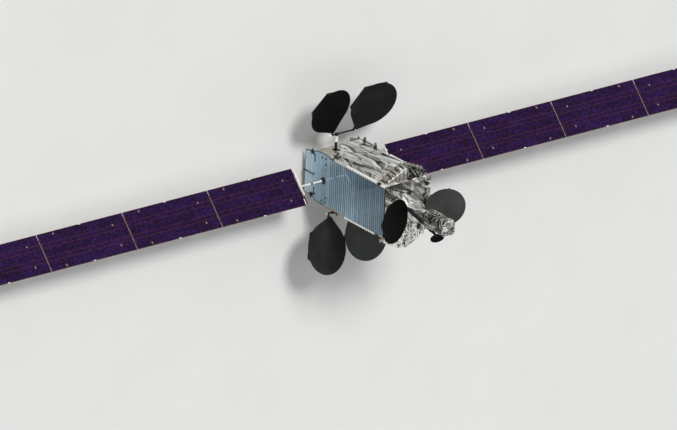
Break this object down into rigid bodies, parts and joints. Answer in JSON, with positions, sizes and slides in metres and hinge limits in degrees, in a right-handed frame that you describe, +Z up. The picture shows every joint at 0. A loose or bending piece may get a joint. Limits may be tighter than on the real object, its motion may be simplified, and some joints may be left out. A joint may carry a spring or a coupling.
{
  "type": "communications satellite",
  "caption": "Boxy communications satellite with two long folding solar wings, mirror radiators, dish reflectors on hinged masts and a feed tower.",
  "frame": {"origin": "centre of the launch ring's foot, on the plane where it meets the launcher", "axes": "+Z up through the body to the Earth deck, +Y out along the south solar wing, +X east"},
  "size_m": [7.4569, 36.38, 7.7],
  "materials": {
    "blanket_silver": "crinkled metallised film blanket",
    "blanket_dark": "dark blanket film",
    "radiator_mirror": "second-surface mirror tiles",
    "white_strip": "white tape",
    "solar_cells": "violet cells under cover glass",
    "white_tube": "white thermal paint",
    "dark_fitting": "black anodised",
    "dark_composite": "bare carbon composite",
    "graphite_shell": "graphite reflector skin",
    "feed_metal": "bright horns",
    "ring_metal": "machined",
    "engine_metal": "heat-stained niobium alloy"
  },
  "bodies": {
    "bus": {"launch_ring": "ring_metal", "main_engine": "engine_metal", "aft_bay": "blanket_dark", "core": "blanket_silver", "bus_radiators": "radiator_mirror", "payload_radiators": "radiator_mirror", "edge_strips": "white_strip", "earth_deck": "blanket_silver", "drive_housings": "dark_fitting", "east_mast": "dark_composite", "west_mast": "dark_composite", "deck_pedestals": "dark_composite", "feed_tower": "blanket_silver", "east_feeds": "feed_metal", "west_feeds": "feed_metal", "thruster_pods": "dark_fitting", "dish_arm": "dark_composite", "hold_downs": "dark_fitting", "aft_boom": "dark_fitting", "deck_antennas": "dark_fitting"},
    "south_drive": {"south_drive_shaft": "dark_fitting"},
    "south_yoke": {"south_yoke": "white_tube"},
    "south_panel_1": {"south_panel_1": "solar_cells"},
    "south_panel_2": {"south_panel_2": "solar_cells"},
    "south_panel_3": {"south_panel_3": "solar_cells"},
    "south_panel_4": {"south_panel_4": "solar_cells"},
    "north_drive": {"north_drive_shaft": "dark_fitting"},
    "north_yoke": {"north_yoke": "white_tube"},
    "north_panel_1": {"north_panel_1": "solar_cells"},
    "north_panel_2": {"north_panel_2": "solar_cells"},
    "north_panel_3": {"north_panel_3": "solar_cells"},
    "north_panel_4": {"north_panel_4": "solar_cells"},
    "reflector_east_south": {"reflector_east_south": "graphite_shell", "backframe_east_south": "dark_composite"},
    "reflector_east_north": {"reflector_east_north": "graphite_shell", "backframe_east_north": "dark_composite"},
    "reflector_west_south": {"reflector_west_south": "graphite_shell", "backframe_west_south": "dark_composite"},
    "reflector_west_north": {"reflector_west_north": "graphite_shell", "backframe_west_north": "dark_composite"},
    "reflector_deck_south": {"reflector_deck_south": "graphite_shell", "backframe_deck_south": "dark_composite"},
    "reflector_deck_north": {"reflector_deck_north": "graphite_shell", "backframe_deck_north": "dark_composite"},
    "spot_dish": {"spot_dish": "graphite_shell"}
  },
  "joints": [
    {"name": "south_array_drive", "type": "hinge", "parent": "bus", "child": "south_drive", "pos_m": [0, 1.1, 1.37], "axis": [0, 1, 0], "continuous": true},
    {"name": "south_yoke_fold", "type": "hinge", "parent": "south_drive", "child": "south_yoke", "pos_m": [0, 1.17, 1.37], "axis": [-0.7193, 0, 0.6947], "range_deg": [0, 90]},
    {"name": "south_panel_1_fold", "type": "hinge", "parent": "south_yoke", "child": "south_panel_1", "pos_m": [0.03126, 2.212, 1.40237], "axis": [-0.7193, 0, 0.6947], "range_deg": [-180, 0]},
    {"name": "south_panel_2_fold", "type": "hinge", "parent": "south_panel_1", "child": "south_panel_2", "pos_m": [-0.02084, 6.212, 1.34842], "axis": [-0.7193, 0, 0.6947], "range_deg": [0, 180]},
    {"name": "south_panel_3_fold", "type": "hinge", "parent": "south_panel_2", "child": "south_panel_3", "pos_m": [0.02084, 10.212, 1.39158], "axis": [-0.7193, 0, 0.6947], "range_deg": [-180, 0]},
    {"name": "south_panel_4_fold", "type": "hinge", "parent": "south_panel_3", "child": "south_panel_4", "pos_m": [-0.02084, 14.212, 1.34842], "axis": [-0.7193, 0, 0.6947], "range_deg": [0, 180]},
    {"name": "north_array_drive", "type": "hinge", "parent": "bus", "child": "north_drive", "pos_m": [0, -1.1, 1.37], "axis": [0, 1, 0], "continuous": true},
    {"name": "north_yoke_fold", "type": "hinge", "parent": "north_drive", "child": "north_yoke", "pos_m": [0, -1.17, 1.37], "axis": [0.7193, 0, -0.6947], "range_deg": [0, 90]},
    {"name": "north_panel_1_fold", "type": "hinge", "parent": "north_yoke", "child": "north_panel_1", "pos_m": [0.03126, -2.212, 1.40237], "axis": [0.7193, 0, -0.6947], "range_deg": [-180, 0]},
    {"name": "north_panel_2_fold", "type": "hinge", "parent": "north_panel_1", "child": "north_panel_2", "pos_m": [-0.02084, -6.212, 1.34842], "axis": [0.7193, 0, -0.6947], "range_deg": [0, 180]},
    {"name": "north_panel_3_fold", "type": "hinge", "parent": "north_panel_2", "child": "north_panel_3", "pos_m": [0.02084, -10.212, 1.39158], "axis": [0.7193, 0, -0.6947], "range_deg": [-180, 0]},
    {"name": "north_panel_4_fold", "type": "hinge", "parent": "north_panel_3", "child": "north_panel_4", "pos_m": [-0.02084, -14.212, 1.34842], "axis": [0.7193, 0, -0.6947], "range_deg": [0, 180]},
    {"name": "east_south_hinge", "type": "hinge", "parent": "bus", "child": "reflector_east_south", "pos_m": [1.7, 0.62, 1.23], "axis": [0, 1, 0], "range_deg": [-70, 0]},
    {"name": "east_north_hinge", "type": "hinge", "parent": "bus", "child": "reflector_east_north", "pos_m": [1.7, -0.37, 1.23], "axis": [0, 1, 0], "range_deg": [-70, 0]},
    {"name": "west_south_hinge", "type": "hinge", "parent": "bus", "child": "reflector_west_south", "pos_m": [-1.48, 0.62, 1.23], "axis": [0, -1, 0], "range_deg": [-70, 0]},
    {"name": "west_north_hinge", "type": "hinge", "parent": "bus", "child": "reflector_west_north", "pos_m": [-1.48, -0.37, 1.23], "axis": [0, -1, 0], "range_deg": [-70, 0]},
    {"name": "deck_south_hinge", "type": "hinge", "parent": "bus", "child": "reflector_deck_south", "pos_m": [0, 0.9, 5.71], "axis": [-1, 0, 0], "range_deg": [-60, 0]},
    {"name": "deck_north_hinge", "type": "hinge", "parent": "bus", "child": "reflector_deck_north", "pos_m": [0, -0.9, 5.71], "axis": [1, 0, 0], "range_deg": [-60, 0]},
    {"name": "spot_dish_tilt", "type": "hinge", "parent": "bus", "child": "spot_dish", "pos_m": [-0.47, 0, 6.93], "axis": [0, 1, 0], "range_deg": [-15, 15]}
  ],
  "couplings": [
    {"joint": "south_panel_1_fold", "follows": "south_yoke_fold", "ratio": -2},
    {"joint": "south_panel_2_fold", "follows": "south_yoke_fold", "ratio": 2},
    {"joint": "south_panel_3_fold", "follows": "south_yoke_fold", "ratio": -2},
    {"joint": "south_panel_4_fold", "follows": "south_yoke_fold", "ratio": 2},
    {"joint": "north_panel_1_fold", "follows": "north_yoke_fold", "ratio": -2},
    {"joint": "north_panel_2_fold", "follows": "north_yoke_fold", "ratio": 2},
    {"joint": "north_panel_3_fold", "follows": "north_yoke_fold", "ratio": -2},
    {"joint": "north_panel_4_fold", "follows": "north_yoke_fold", "ratio": 2}
  ]
}
